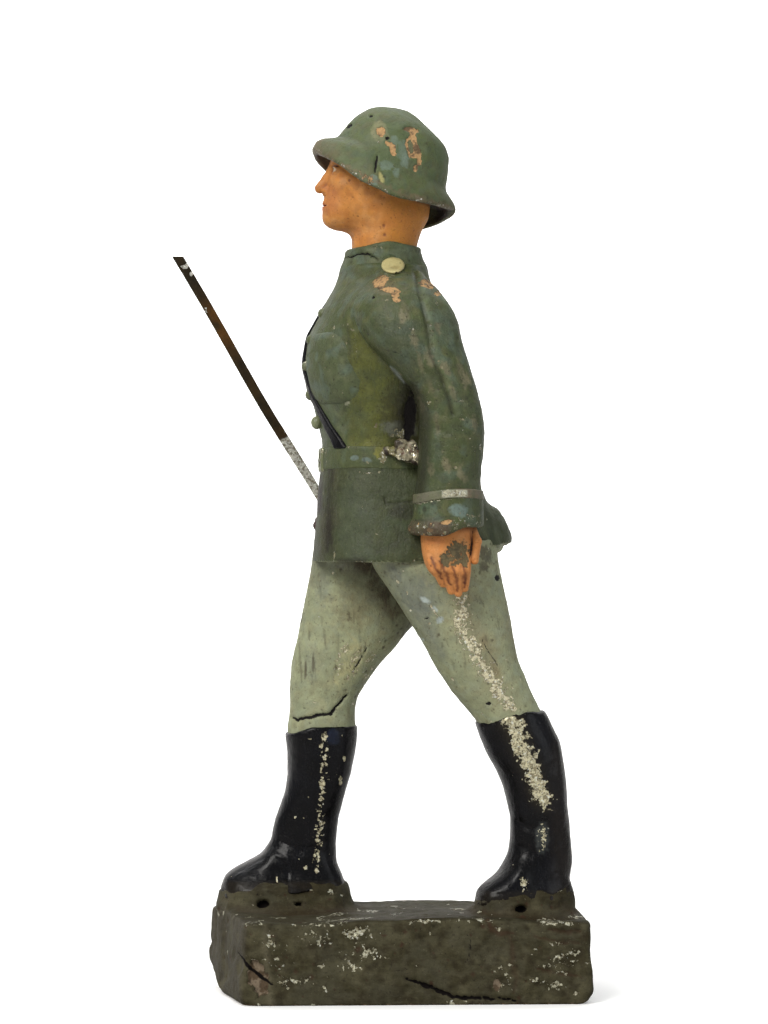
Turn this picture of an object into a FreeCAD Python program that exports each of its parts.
"""Painted composition figure of a marching officer on a ground block, as separate solids.

Millimetres, +Z up. The origin is the centre of the block's underside. The figure marches
towards -X, its left side faces -Y and its right side +Y. Moulded composition pieces sit on an
iron wire armature. A tin sabre slides out of the right fist along its own blade.
"""
import FreeCAD
import Part
import math
import os

V = FreeCAD.Vector
X_AXIS, Y_AXIS, Z_AXIS = V(1, 0, 0), V(0, 1, 0), V(0, 0, 1)
os.makedirs("parts", exist_ok=True)

# ---- driving dimensions, mm ----------------------------------------------------------------
BLOCK_H = 7.1             # block height
BLOCK_FOOT = [(-14.8, -7.5), (15.1, -9.8), (15.9, 7.5), (-16.1, 7.5)]   # underside corners, X Y
BLOCK_TOP = [(-14.1, -7.0), (15.0, -9.1), (15.6, 6.9), (-16.2, 6.9)]    # top corners, X Y
BLOCK_ROUND = 0.55        # rounding of the block's top and corner edges
MOUND_H = 2.6             # nominal height of the ground heaped round each boot
HOLE_R = 0.42             # press-pin holes in the ground round the boots
WIRE_R = 0.45             # armature wire radius

LEG_Y = 3.5               # leg centre line from the middle plane
BOOT_TOP_FRONT = 22.7     # top of the front boot
BOOT_TOP_REAR = 23.9      # top of the rear boot, at its front edge
REAR_TOP_SLOPE = 0.13     # rear boot top rises backwards by this much per mm of X
REAR_TOP_X = 6.06         # X where the rear boot top has its stated height
FOOT_HALF_W = 2.35        # half-width of a foot at its widest
SOLE_Z = BLOCK_H + 0.1

WAIST_Z = 46.2            # joint between tunic body and tunic skirt
BELT_H = 2.0
BELT_T = 0.35
HEM_Z = 37.5              # skirt hem at HEM_FRONT_X
HEM_FRONT_X = -8.0
HEM_SLOPE = 0.072         # hem rises backwards by this much per mm of X
HEM_MID_Z = HEM_Z - HEM_SLOPE * HEM_FRONT_X     # hem at X = 0
COLLAR_Z = 61.9           # lower end of the standing collar
COLLAR_H = 2.6            # nominal collar height

HEAD_CENTRE = V(-2.1, 0, 70.6)
HEAD_LEAN = math.radians(12.0)      # the head leans back
HELMET_CENTRE = V(-1.63, 0, 70.45)
HELMET_TILT = math.radians(24.2)    # rim plane drops towards the back
RIM_ROLL = 1.2            # the rim hangs this much lower on the right than on the left

SABRE_DIR = V(-0.504, 0.0, 0.864).normalize()   # from grip to point
BLADE_LINE_X, BLADE_LINE_Z = -9.35, 48.2        # a point the blade's line passes through
BLADE_W = 0.78
BLADE_T = 0.36
BLADE_OUT = 28.85         # grip centre to blade point
BLADE_SLANT = 0.4         # length of the slanting end
TANG_IN = 1.9             # grip centre to tang end
SLOT_GAP = 0.06           # clearance round the tang in hilt and fist
GRIP_HALF = 2.3           # half-length of the grip
BOW_WIRE_R = 0.28

BUTTON_R = 0.55
BUTTON_Y = -0.25
POCKET_Z, POCKET_H = 50.9, 6.3      # lower edge and height of the breast pockets
POCKET_INNER_Y, POCKET_W = 1.3, 5.2  # inner edge from the middle plane, and width

SECTION_POINTS = 16       # points on each cross-section
LEVEL_POWER = 2.3         # usual super-ellipse power of level sections
TUBE_POWER = 2.2          # usual super-ellipse power of limb sections


# ---- shape helpers -------------------------------------------------------------------------
def unit_outline(power):
    """Points round a super-ellipse with half-sizes of 1."""
    points = []
    for i in range(SECTION_POINTS):
        angle = 2 * math.pi * i / SECTION_POINTS
        c, s = math.cos(angle), math.sin(angle)
        points.append((math.copysign(abs(c) ** (2.0 / power), c),
                       math.copysign(abs(s) ** (2.0 / power), s)))
    return points


def ring(points):
    """Closed smooth wire through the points."""
    curve = Part.BSplineCurve()
    curve.interpolate(Points=points, PeriodicFlag=True)
    return Part.Wire([curve.toShape()])


def level_section(z, x_front, x_back, y_mid, half_y, power=LEVEL_POWER, slope=0.0, pivot_x=0.0):
    """Level section. A slope tips it about Y, with its height z kept at pivot_x."""
    x_mid, half_x = (x_front + x_back) / 2.0, (x_back - x_front) / 2.0
    points = []
    for a, b in unit_outline(power):
        x = x_mid + half_x * a
        points.append(V(x, y_mid + half_y * b, z + slope * (x - pivot_x)))
    return ring(points)


def tube_section(centre, u_dir, w_dir, half_u, half_w, power=TUBE_POWER):
    """Section round a centre, in the plane of two unit vectors."""
    return ring([centre + u_dir * (half_u * a) + w_dir * (half_w * b)
                 for a, b in unit_outline(power)])


def loft(sections):
    solid = Part.makeLoft(sections, True, False)
    if solid.Volume < 0:
        solid.reverse()
    return solid


def stack(rows):
    """Loft through level sections; each row holds level_section's arguments in order."""
    return loft([level_section(*row) for row in rows])


def polygon(points):
    return Part.makePolygon(points + [points[0]])


def wire_rod(points, radius=WIRE_R):
    """Round wire through the points, with a ball at each bend."""
    rod = None
    for start, end in zip(points, points[1:]):
        along = end - start
        piece = Part.makeCylinder(radius, along.Length, start, along)
        rod = piece if rod is None else rod.fuse(piece)
    for bend in points[1:-1]:
        rod = rod.fuse(Part.makeSphere(radius, bend))
    return rod.removeSplitter()


def ellipsoid(centre, radius_x, radius_y, radius_z):
    matrix = FreeCAD.Matrix()
    matrix.scale(radius_x, radius_y, radius_z)
    solid = Part.makeSphere(1.0).transformGeometry(matrix)
    solid.translate(centre)
    return solid


def biggest(shape):
    return max(shape.Solids, key=lambda solid: solid.Volume)


def cut(shape, *tools):
    """Cut the tools away one by one."""
    for tool in tools:
        shape = shape.cut(tool)
    return shape


def trim(shape, *tools):
    """Cut the tools away one by one and keep the biggest solid left."""
    return biggest(cut(shape, *tools))


def drop_slivers(shape, smallest=0.002):
    """A single solid, or a compound of solids, without those of tiny volume."""
    kept = [solid for solid in shape.Solids if solid.Volume > smallest]
    return kept[0] if len(kept) == 1 else Part.makeCompound(kept)


# ---- armature wires ------------------------------------------------------------------------
WIRE_PATHS = {            # X, Y, Z of the ends and bends
    "leg_wire_right": [(-8.0, LEG_Y, 2.6), (-8.0, LEG_Y, 10.0), (-7.0, LEG_Y, 22.0),
                       (-2.6, 2.4, 36.0), (-2.2, 1.6, 50.0)],
    "leg_wire_left": [(11.3, -LEG_Y, 2.6), (11.3, -LEG_Y, 11.0), (9.6, -LEG_Y, 22.0),
                      (2.4, -2.4, 36.0), (0.6, -1.6, 50.0)],
    "neck_wire": [(-1.4, 0.0, 51.0), (-1.6, 0.0, 62.0), (-1.8, 0.0, 70.5)],
    "arm_wire_left": [(-1.0, -1.7, 59.0), (-0.2, -7.2, 58.6), (2.6, -8.4, 49.0),
                      (3.0, -8.3, 37.6)],
    "arm_wire_right": [(-1.0, 1.7, 59.0), (-0.2, 7.3, 58.6), (3.3, 9.0, 50.0),
                       (-2.2, 8.2, 43.3)],
}

# All level section tables below have the columns
# z, front x, back x, middle y, half-width y, then if needed power, slope, pivot x.

# ---- boots ---------------------------------------------------------------------------------
FRONT_SHAFT = [
    (BOOT_TOP_FRONT, -9.9, -3.5, LEG_Y, 2.95),
    (21.0, -9.8, -3.6, LEG_Y, 2.95),
    (18.6, -9.8, -4.0, LEG_Y, 2.85),
    (16.0, -10.3, -4.9, LEG_Y, 2.6),
    (13.6, -10.9, -5.4, LEG_Y, 2.35),
    (11.4, -11.4, -5.3, LEG_Y, 2.3),
    (8.2, -11.0, -5.1, LEG_Y, 2.3),
]
REAR_SHAFT = [
    (BOOT_TOP_REAR, 5.9, 12.1, -LEG_Y, 3.0, LEVEL_POWER, REAR_TOP_SLOPE, REAR_TOP_X),
    (21.6, 6.6, 13.3, -LEG_Y, 3.05),
    (19.4, 7.8, 13.7, -LEG_Y, 3.0),
    (17.0, 8.6, 13.85, -LEG_Y, 2.75),
    (14.6, 9.0, 14.15, -LEG_Y, 2.45),
    (12.4, 8.7, 14.3, -LEG_Y, 2.35),
    (10.4, 7.9, 14.1, -LEG_Y, 2.4),
    (8.2, 8.2, 13.7, -LEG_Y, 2.4),
]


def make_foot(heel, toe, instep_h, toe_h):
    """Foot of a boot, lofted through upright sections from heel to toe."""
    length = (toe - heel).Length
    forward = (toe - heel).normalize()
    side = V(-forward.y, forward.x, 0)
    stations = [          # share of the length, height, share of the half-width
        (0.02, instep_h * 0.55, 0.62),
        (0.12, instep_h * 0.95, 0.92),
        (0.38, instep_h, 0.95),
        (0.6, (instep_h + toe_h) / 2 + 0.1, 1.0),
        (0.82, toe_h, 0.98),
        (0.95, toe_h * 0.82, 0.74),
        (1.0, toe_h * 0.5, 0.42),
    ]
    sections = []
    for share, height, width in stations:
        centre = heel + forward * (length * share) + V(0, 0, SOLE_Z + height / 2.0)
        sections.append(tube_section(centre, side, Z_AXIS, FOOT_HALF_W * width,
                                     height / 2.0, 2.5))
    return loft(sections)


def make_front_boot():
    foot = make_foot(V(-5.0, LEG_Y, 0), V(-15.3, LEG_Y + 0.2, 0), 4.6, 2.5)
    return biggest(stack(FRONT_SHAFT).fuse(foot))


def make_rear_boot():
    foot = make_foot(V(13.8, -LEG_Y + 0.9, 0), V(6.0, -LEG_Y - 1.0, 0), 4.2, 2.4)
    return biggest(stack(REAR_SHAFT).fuse(foot))


# ---- block with heaped ground --------------------------------------------------------------
FRONT_MOUND = [
    (5.2, -15.6, -3.4, LEG_Y - 0.3, 3.4, 3.0),
    (7.0, -15.9, -4.0, LEG_Y - 0.3, 3.5, 2.8),
    (8.6, -15.3, -4.7, LEG_Y - 0.3, 3.15, 2.6),
    (BLOCK_H + MOUND_H + 0.4, -14.9, -5.2, LEG_Y - 0.2, 2.6, 2.5),
]
REAR_MOUND = [
    (5.2, 4.9, 15.0, -LEG_Y - 0.1, 3.5, 3.0),
    (7.0, 5.4, 14.2, -LEG_Y - 0.1, 3.5, 2.8),
    (8.4, 6.2, 13.6, -LEG_Y - 0.1, 3.1, 2.6),
    (BLOCK_H + MOUND_H - 0.5, 6.9, 13.7, -LEG_Y, 2.6, 2.5),
]
PIN_HOLES = [             # radius, depth, start, direction
    (HOLE_R, 2.2, V(-13.4, -1.2, 8.6), V(0.05, 1, 0)),
    (HOLE_R * 0.7, 1.6, V(-9.9, -1.2, 8.4), V(0, 1, 0)),
    (HOLE_R, 1.6, V(9.6, -8.0, 7.9), V(0, 1, 0.1)),
]


def make_plinth(boots, leg_wires):
    underside = polygon([V(x, y, 0.0) for x, y in BLOCK_FOOT])
    top = polygon([V(x, y, BLOCK_H) for x, y in BLOCK_TOP])
    block = Part.makeLoft([underside, top], True, True)
    # Every edge but those of the underside.
    edges = [edge for edge in block.Edges if max(v.Z for v in edge.Vertexes) > 1.0]
    # If the kernel can't round these edges, the block stays sharp.
    try:
        block = block.makeFillet(BLOCK_ROUND, edges)
    except Exception:
        pass
    ground = block.fuse(stack(FRONT_MOUND)).fuse(stack(REAR_MOUND))
    holes = [Part.makeCylinder(*hole) for hole in PIN_HOLES]
    return trim(ground, *boots, *holes, *leg_wires)


# ---- breeches ------------------------------------------------------------------------------
FRONT_LEG = [
    (HEM_MID_Z, -7.6, 4.6, 3.35, 3.5, 2.4, HEM_SLOPE),
    (35.0, -7.9, 3.1, 3.4, 3.5),
    (32.6, -8.4, 1.9, 3.45, 3.4),
    (30.2, -8.9, 0.1, 3.5, 3.25),
    (28.0, -9.35, -1.9, 3.5, 3.05),
    (25.6, -9.45, -3.5, 3.5, 2.85),
    (BOOT_TOP_FRONT, -9.65, -3.7, LEG_Y, 2.75),
]
REAR_LEG = [
    (HEM_MID_Z, -3.4, 7.85, -3.35, 3.6, 2.4, HEM_SLOPE),
    (35.2, -1.9, 8.3, -3.4, 3.6),
    (32.6, 0.0, 8.9, -3.45, 3.45),
    (30.0, 1.7, 9.3, -3.5, 3.25),
    (27.7, 3.0, 10.0, -3.5, 3.1),
    (25.8, 4.4, 11.0, -3.5, 2.95),
    (BOOT_TOP_REAR, 6.1, 11.9, -LEG_Y, 2.8, LEVEL_POWER, REAR_TOP_SLOPE, REAR_TOP_X),
]


def make_breeches_leg(rows, box_y, own_wire, other_wire):
    """One leg, kept on its own side of the middle plane by a box that starts at box_y."""
    own_side = Part.makeBox(60, 30, 60, V(-30, box_y, 10))
    return trim(stack(rows).common(own_side), own_wire, other_wire)


# ---- tunic, collar and neck ----------------------------------------------------------------
WAIST = (WAIST_Z, -7.0, 3.9, 0, 5.9)
SKIRT = [
    WAIST,
    (44.2, -7.35, 4.9, 0, 6.3),
    (42.3, -7.45, 7.4, 0, 6.7),
    (40.4, -7.65, 9.0, 0, 7.0),
    (HEM_MID_Z, -7.9, 9.3, 0, 7.2, LEVEL_POWER, HEM_SLOPE),
]
CHEST = [
    (48.2, -7.0, 4.0, 0, 6.0, 2.3),
    (50.4, -7.5, 4.3, 0, 6.5, 2.3),
    (52.8, -8.3, 4.2, 0, 7.0, 2.3),
    (55.2, -8.5, 3.9, 0, 7.4, 2.3),
    (57.6, -7.9, 3.5, 0, 7.7, 2.3),
    (59.8, -6.8, 2.8, 0, 7.4, 2.3),
    (61.6, -5.9, 2.4, 0, 5.6, 2.2),
]
BODY = [WAIST] + CHEST + [(62.8, -5.5, 2.1, 0, 4.0, 2.1)]
COLLAR = [
    (COLLAR_Z, -5.7, 2.3, 0, 4.0, 2.1),
    (63.2, -5.25, 1.95, 0, 3.75, 2.1),
    (COLLAR_Z + COLLAR_H + 0.5, -5.05, 1.75, 0, 3.6, 2.1),
]
NECK = [
    (61.0, -4.85, 1.3, 0, 3.1, 2.0),
    (63.5, -4.75, 1.4, 0, 3.05, 2.0),
    (65.2, -4.7, 1.65, 0, 3.1, 2.0),
    (67.2, -4.5, 2.2, 0, 3.2, 2.0),
    (69.0, -4.4, 2.3, 0, 3.2, 2.0),
]


def make_chest_shell():
    """Slightly larger copy of the tunic body, for what lies on its surface."""
    front_and_side, back = 0.35, 0.3
    chest = [(z, x_front - front_and_side, x_back + back, y, half_y + front_and_side, power)
             for z, x_front, x_back, y, half_y, power in CHEST]
    return stack([(WAIST_Z - 0.3, -7.3, 4.2, 0, 6.2)] + chest + [(63.0, -5.8, 2.4, 0, 4.3, 2.1)])


# ---- head and helmet -----------------------------------------------------------------------
JAW = [                   # forward, up from the head's centre; half-length X, half-width Y
    (0.7, 0.6, 3.5, 3.3),
    (1.0, -1.6, 3.2, 3.0),
    (1.5, -3.4, 2.6, 2.45),
    (2.0, -4.8, 1.4, 1.5),
]
NOSE = [                  # same columns
    (3.5, 0.4, 0.55, 0.4),
    (3.95, -0.9, 0.65, 0.5),
    (4.2, -1.9, 0.7, 0.65),
    (3.8, -2.25, 0.5, 0.5),
]
# Helmet columns: height above the rim plane, front and back end along it, half-width Y.
DOME = [
    (-2.7, -5.6, 5.3, 5.9),
    (-1.3, -6.2, 6.0, 5.85),
    (-0.2, -6.7, 6.7, 5.7),
    (0.7, -6.7, 6.3, 5.4),
    (1.6, -5.75, 5.3, 5.1),
    (2.6, -5.1, 4.95, 4.85),
    (3.8, -4.8, 4.55, 4.45),
    (4.8, -4.2, 3.9, 3.9),
    (5.7, -3.2, 2.2, 2.8),
    (6.35, -1.7, 0.5, 1.3),
]
HOLLOW = [
    (-3.3, -5.3, 5.0, 5.5),
    (-1.3, -5.8, 5.6, 5.4),
    (-0.2, -6.1, 5.9, 5.1),
    (0.8, -5.5, 5.2, 4.75),
    (1.9, -4.5, 4.4, 4.2),
]
# Side view of the rim from front to back: distance along the rim plane, height above it.
RIM = [(-8.5, -0.6), (-4.4, -0.6), (-1.6, -1.35), (1.4, -1.3), (4.4, -0.35), (8.5, -0.3)]
BELOW_RIM = [(8.5, -7.0), (-8.5, -7.0)]     # lower corners of what is trimmed away
RIM_CUT_Y = 7.5           # half-width of what is trimmed away
HELMET_BACK = V(math.cos(HELMET_TILT), 0, -math.sin(HELMET_TILT))
HELMET_UP = V(math.sin(HELMET_TILT), 0, math.cos(HELMET_TILT))


def face_loft(rows):
    """Loft with level sections placed in the leaning head's frame."""
    cos_lean, sin_lean = math.cos(HEAD_LEAN), math.sin(HEAD_LEAN)
    sections = []
    for forward, up, half_x, half_y in rows:
        centre = HEAD_CENTRE + V(-forward * cos_lean + up * sin_lean, 0,
                                 up * cos_lean + forward * sin_lean)
        sections.append(tube_section(centre, X_AXIS, Y_AXIS, half_x, half_y))
    return loft(sections)


def make_head(neck):
    skull = ellipsoid(HEAD_CENTRE + V(0.3, 0, 0.6), 4.55, 3.55, 4.3)
    return biggest(skull.fuse(face_loft(JAW)).fuse(face_loft(NOSE)).fuse(neck))


def helmet_point(along, y, up):
    return HELMET_CENTRE + HELMET_BACK * along + Y_AXIS * y + HELMET_UP * up


def helmet_loft(rows):
    return loft([tube_section(helmet_point((front + back) / 2.0, 0, height),
                              HELMET_BACK, Y_AXIS, (back - front) / 2.0, half_y, 2.15)
                 for height, front, back, half_y in rows])


def rim_outline(y, drop):
    """Outline, at one side of the helmet, of what is trimmed away below its rim."""
    outline = [(along, up - drop) for along, up in RIM] + BELOW_RIM
    return polygon([helmet_point(along, y, up) for along, up in outline])


def make_helmet(head):
    below_rim = Part.makeLoft([rim_outline(-RIM_CUT_Y, 0.0), rim_outline(RIM_CUT_Y, RIM_ROLL)],
                              True, True)
    return trim(helmet_loft(DOME), helmet_loft(HOLLOW), below_rim, head)


# ---- left arm, hanging ---------------------------------------------------------------------
LEFT_SLEEVE = [
    (62.4, -2.2, 1.0, -6.2, 1.6, 2.1),
    (61.0, -3.9, 2.2, -6.9, 2.7, 2.2),
    (58.8, -4.6, 3.5, -7.5, 3.3),
    (56.4, -3.9, 4.1, -7.9, 3.4),
    (53.6, -1.7, 4.8, -8.3, 3.2),
    (50.8, 0.2, 5.65, -8.5, 2.9),
    (47.6, 0.35, 5.9, -8.5, 2.75),
    (43.3, 0.1, 5.6, -8.4, 2.7),
]
LEFT_CUFF = [
    (43.3, -0.1, 5.8, -8.4, 2.95, 2.4),
    (42.6, -0.05, 5.85, -8.4, 2.95, 2.4),
    (41.2, -0.2, 5.9, -8.4, 2.95, 2.4),
    (40.2, -0.45, 5.95, -8.4, 3.0, 2.4),
]
LEFT_BRAID = [(43.45, -0.25, 5.95, -8.4, 3.1, 2.4), (42.55, -0.25, 6.0, -8.4, 3.12, 2.4)]
LEFT_BRAID_BORE = [(44.5, 0.4, 5.3, -8.4, 2.4), (41.5, 0.4, 5.3, -8.4, 2.4)]
LEFT_HAND = [
    (40.2, 0.45, 5.5, -8.3, 1.75),
    (38.6, 0.55, 5.4, -8.3, 1.85),
    (37.2, 1.0, 5.0, -8.3, 1.85),
    (36.0, 2.0, 4.6, -8.2, 1.5, 2.2),
    (35.1, 3.1, 4.2, -8.1, 0.8, 2.1),
]

# ---- right arm, bent forward ---------------------------------------------------------------
RIGHT_SLEEVE = [          # centre, half-size in the X-Z plane, half-size sideways
    (V(-0.9, 6.3, 62.2), 1.5, 1.5),
    (V(-0.9, 7.0, 60.6), 3.0, 2.6),
    (V(-0.3, 7.7, 58.2), 3.9, 3.1),
    (V(1.1, 8.3, 54.8), 3.5, 3.1),
    (V(2.8, 8.8, 51.4), 3.0, 2.8),
    (V(3.5, 9.0, 48.4), 2.9, 2.7),
    (V(2.3, 8.9, 45.7), 2.7, 2.6),
    (V(0.2, 8.5, 43.6), 2.55, 2.5),
]
# Columns below: distance beyond the sleeve's end, the same two half-sizes, power.
CUFF_L = 2.9
RIGHT_CUFF = [(0.0, 2.75, 2.75, 2.3), (0.8, 2.75, 2.75, 2.3), (CUFF_L, 2.8, 2.75, 2.3)]
RIGHT_BRAID = [(-0.1, 2.9, 2.9, 2.3), (0.75, 2.9, 2.9, 2.3)]
RIGHT_BRAID_BORE = [(-0.6, 2.3, 2.3, 2.3), (1.4, 2.3, 2.3, 2.3)]
RIGHT_FIST = [
    (CUFF_L, 1.7, 1.6, 2.2),
    (CUFF_L + 0.9, 1.95, 1.7, 2.2),
    (CUFF_L + 2.2, 2.0, 1.75, 2.4),
    (CUFF_L + 3.4, 1.7, 1.6, 2.4),
    (CUFF_L + 3.9, 1.0, 1.0, 2.2),
]


def across(along):
    """Two unit vectors square to a limb: one in the X-Z plane, one mostly sideways."""
    u_dir = Y_AXIS.cross(along).normalize()
    return u_dir, along.cross(u_dir).normalize()


def make_right_sleeve():
    """Raw sleeve, each section square to the chord between its neighbours."""
    sections = []
    last = len(RIGHT_SLEEVE) - 1
    for i, (centre, half_u, half_w) in enumerate(RIGHT_SLEEVE):
        before = RIGHT_SLEEVE[max(i - 1, 0)][0]
        after = RIGHT_SLEEVE[min(i + 1, last)][0]
        u_dir, w_dir = across((after - before).normalize())
        sections.append(tube_section(centre, u_dir, w_dir, half_u, half_w))
    return loft(sections)


# Cuff and fist carry on straight from the sleeve's last section, in the same plane.
SLEEVE_END = RIGHT_SLEEVE[-1][0]
FOREARM_DIR = (SLEEVE_END - RIGHT_SLEEVE[-2][0]).normalize()
FOREARM_U, FOREARM_W = across(FOREARM_DIR)


def forearm_loft(rows):
    return loft([tube_section(SLEEVE_END + FOREARM_DIR * distance, FOREARM_U, FOREARM_W,
                              half_u, half_w, power)
                 for distance, half_u, half_w, power in rows])


# ---- sabre ---------------------------------------------------------------------------------
BLADE_BACKWARD = Y_AXIS.cross(SABRE_DIR).normalize()    # across the blade, back and up
BLADE_FORWARD = BLADE_BACKWARD * -1.0
# The grip's centre is the point of the blade's line nearest to the middle of the fist.
FIST_MID = SLEEVE_END + FOREARM_DIR * (CUFF_L + 2.0)
LINE_POINT = V(BLADE_LINE_X, FIST_MID.y, BLADE_LINE_Z)
GRIP_CENTRE = LINE_POINT + SABRE_DIR * (FIST_MID - LINE_POINT).dot(SABRE_DIR)


def along_sabre(distance, forward=0.0):
    """Point at a distance from the grip's centre towards the blade point."""
    return GRIP_CENTRE + SABRE_DIR * distance + BLADE_FORWARD * forward


def sabre_strip(low, high, width, thickness, slant=0.0):
    """Flat strip along the sabre; its front edge runs on by slant beyond high."""
    normal = SABRE_DIR.cross(BLADE_BACKWARD).normalize()
    half = width / 2
    corners = [along_sabre(low, half), along_sabre(low, -half),
               along_sabre(high, -half), along_sabre(high + slant, half)]
    face = Part.Face(polygon([corner - normal * (thickness / 2) for corner in corners]))
    return face.extrude(normal * thickness)


def make_hilt(slot):
    grip = Part.makeCylinder(0.95, 2 * GRIP_HALF, along_sabre(-GRIP_HALF), SABRE_DIR)
    pommel = Part.makeSphere(1.0, along_sabre(-GRIP_HALF - 0.3))
    guard = Part.makeCylinder(1.25, 0.5, along_sabre(GRIP_HALF), SABRE_DIR)
    bow = wire_rod([along_sabre(GRIP_HALF + 0.25, 0.9), along_sabre(GRIP_HALF - 0.5, 1.65),
                    along_sabre(-GRIP_HALF + 1.2, 1.65), along_sabre(-GRIP_HALF - 0.2, 0.7)],
                   BOW_WIRE_R)
    return trim(grip.fuse(pommel).fuse(guard).fuse(bow), slot)


# ---- belt, strap, pockets, buttons, shoulder boards ----------------------------------------
BELT = [
    (WAIST_Z - BELT_H / 2, -7.25 - BELT_T, 4.1 + BELT_T, 0, 6.05 + BELT_T),
    (WAIST_Z, -7.1 - BELT_T, 4.0 + BELT_T, 0, 5.95 + BELT_T),
    (WAIST_Z + BELT_H / 2, -7.0 - BELT_T, 4.0 + BELT_T, 0, 5.95 + BELT_T),
]
BELT_BORE = [(WAIST_Z - 2, -6.5, 3.4, 0, 5.4), (WAIST_Z + 2, -6.5, 3.4, 0, 5.4)]
BUCKLE_W, BUCKLE_H = 2.6, 2.4
STRAP_TOP = V(-5.0, 4.6, 61.6)      # on the right shoulder
STRAP_END = V(-5.9, -4.0, 47.3)     # at the left front of the belt
STRAP_HALF_W = 0.5
BUTTONS = [(-7.15, 59.0), (-8.15, 56.7), (-8.45, 54.4), (-8.0, 51.95), (-7.35, 49.55)]  # X, Z
BOARD = [(3.6, 62.75, 1.0), (5.0, 62.35, 1.15), (6.6, 61.6, 1.15),
         (8.0, 60.6, 0.95)]         # distance from the middle plane, z, half-length X


def make_strap(shell):
    """Cross strap: the chest shell inside a slanting slab that covers only the front."""
    down = (STRAP_END - STRAP_TOP).normalize()
    edge = down.cross(X_AXIS).normalize() * STRAP_HALF_W
    top = STRAP_TOP - down * 3 + V(-20, 0, 0)
    end = STRAP_END + down * 1.0 + V(-20, 0, 0)
    face = Part.Face(polygon([top + edge, top - edge, end - edge, end + edge]))
    return shell.common(face.extrude(V(21.5, 0, 0)))


def make_pocket(side, shell, *neighbours):
    """Breast pocket; side is -1 for left and 1 for right."""
    box_y = POCKET_INNER_Y if side > 0 else -POCKET_INNER_Y - POCKET_W
    box = Part.makeBox(6.0, POCKET_W, POCKET_H, V(-10, box_y, POCKET_Z))
    return trim(shell.common(box), *neighbours)


def make_tunic_buttons(*neighbours):
    return Part.makeCompound([
        trim(ellipsoid(V(x, BUTTON_Y, z), 0.55, BUTTON_R, BUTTON_R), *neighbours)
        for x, z in BUTTONS])


def make_board(side, *neighbours):
    """Board lying on the top of one shoulder."""
    sections = [tube_section(V(-1.5, side * y, z), X_AXIS, Z_AXIS, half_x, 0.75, 3.0)
                for y, z, half_x in BOARD]
    return trim(loft(sections), *neighbours)


def make_board_button(side, *neighbours):
    return trim(ellipsoid(V(-1.4, side * 4.3, 63.35), 0.8, 0.6, 0.55), *neighbours)


# ---- fitting the pieces together: each one is cut by the neighbours it meets ---------------
wires = {name: wire_rod([V(*point) for point in path]) for name, path in WIRE_PATHS.items()}
leg_wire_right, leg_wire_left, neck_wire, arm_wire_left, arm_wire_right = wires.values()

boot_front = make_front_boot()
boot_rear = make_rear_boot()
plinth = make_plinth([boot_front, boot_rear], [leg_wire_right, leg_wire_left])
boot_front = trim(boot_front, leg_wire_right)
boot_rear = trim(boot_rear, leg_wire_left)
leg_front = make_breeches_leg(FRONT_LEG, 0, leg_wire_right, leg_wire_left)
leg_rear = make_breeches_leg(REAR_LEG, -30, leg_wire_left, leg_wire_right)

neck = stack(NECK)
head = make_head(neck)
helmet = make_helmet(head)
head = trim(head, neck_wire)
full_body = stack(BODY)
full_collar = stack(COLLAR)
collar = trim(full_collar, neck, full_body, head)
body = trim(full_body, neck, *wires.values())
skirt = trim(stack(SKIRT), leg_wire_right, leg_wire_left, neck_wire)

blade = sabre_strip(-TANG_IN, BLADE_OUT - BLADE_SLANT, BLADE_W, BLADE_T, BLADE_SLANT)
slot = sabre_strip(-TANG_IN - SLOT_GAP, 12.0, BLADE_W + 2 * SLOT_GAP, BLADE_T + 2 * SLOT_GAP)
hilt = make_hilt(slot)

sleeve_left = trim(stack(LEFT_SLEEVE), body, skirt, full_collar, arm_wire_left)
cuff_left = trim(stack(LEFT_CUFF), skirt, arm_wire_left)
braid_left = trim(stack(LEFT_BRAID), cuff_left, sleeve_left, arm_wire_left, body, skirt)
braid_left = trim(braid_left, stack(LEFT_BRAID_BORE))
hand_left = trim(stack(LEFT_HAND), skirt, leg_rear, arm_wire_left)

sleeve_right = trim(make_right_sleeve(), body, skirt, full_collar, arm_wire_right)
cuff_right = trim(forearm_loft(RIGHT_CUFF), sleeve_right, body, skirt, hilt, arm_wire_right)
fist_right = trim(forearm_loft(RIGHT_FIST), hilt, slot, arm_wire_right)
fist_right = trim(fist_right, cuff_right, skirt)

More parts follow.
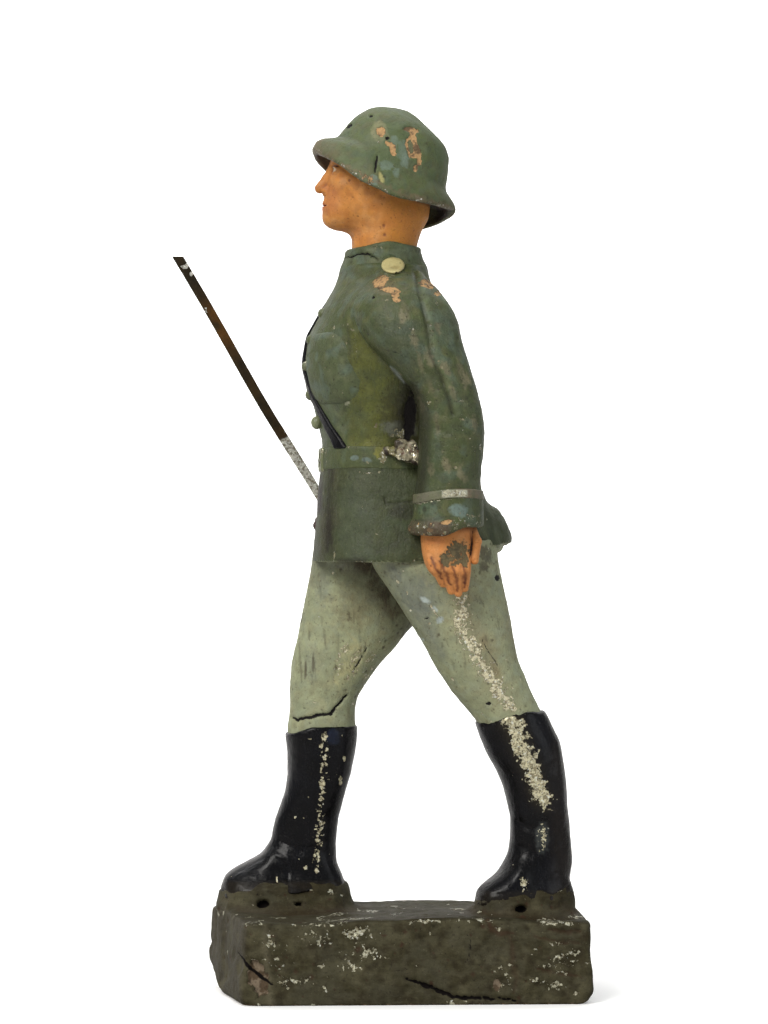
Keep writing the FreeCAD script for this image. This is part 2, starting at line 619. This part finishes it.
belt = trim(stack(BELT), body, skirt, sleeve_left, sleeve_right, cuff_right, *wires.values(),
            stack(BELT_BORE))
braid_right = trim(forearm_loft(RIGHT_BRAID), forearm_loft(RIGHT_BRAID_BORE), skirt,
                   cuff_right, sleeve_right, body)
braid_right = trim(braid_right, belt)
buckle = Part.makeBox(0.9, BUCKLE_W, BUCKLE_H, V(-7.7, -BUCKLE_W / 2, WAIST_Z - BUCKLE_H / 2))
buckle = trim(buckle, belt, body, skirt)
hanger = Part.makeBox(2.9, 1.6, 2.3, V(-2.1, -7.3, 45.8))
hanger = trim(hanger, body, skirt, belt, sleeve_left)

shell = make_chest_shell()
strap = trim(make_strap(shell), body, belt, collar, sleeve_right, sleeve_left, buckle)
board_left = make_board(-1, body, collar, sleeve_left, strap)
board_right = make_board(1, body, collar, sleeve_right, strap)
board_buttons = Part.makeCompound([make_board_button(side, board, body, collar, strap)
                                   for side, board in ((-1, board_left), (1, board_right))])

PARTS = {
    "plinth": plinth,
    "boot_right_front": boot_front,
    "boot_left_rear": boot_rear,
    "breeches_leg_right": leg_front,
    "breeches_leg_left": leg_rear,
    "tunic_skirt": skirt,
    "tunic_body": body,
    "collar": collar,
    "head": head,
    "helmet": helmet,
    "sleeve_left": sleeve_left,
    "cuff_left": cuff_left,
    "cuff_braid_left": braid_left,
    "hand_left": hand_left,
    "sleeve_right": sleeve_right,
    "cuff_right": cuff_right,
    "cuff_braid_right": braid_right,
    "fist_right": fist_right,
    "sabre_hilt": hilt,
    "sabre_blade": blade,
    "waist_belt": belt,
    "belt_buckle": buckle,
    "sabre_hanger": hanger,
    "cross_strap": strap,
    "breast_pocket_left": make_pocket(-1, shell, body, strap, sleeve_left),
    "breast_pocket_right": make_pocket(1, shell, body, strap, sleeve_right),
    "tunic_buttons": make_tunic_buttons(body, strap),
    "shoulder_board_left": board_left,
    "shoulder_board_right": board_right,
    "shoulder_board_buttons": board_buttons,
}
PARTS.update(wires)

for name, shape in PARTS.items():
    drop_slivers(shape).exportStep("parts/%s.step" % name)
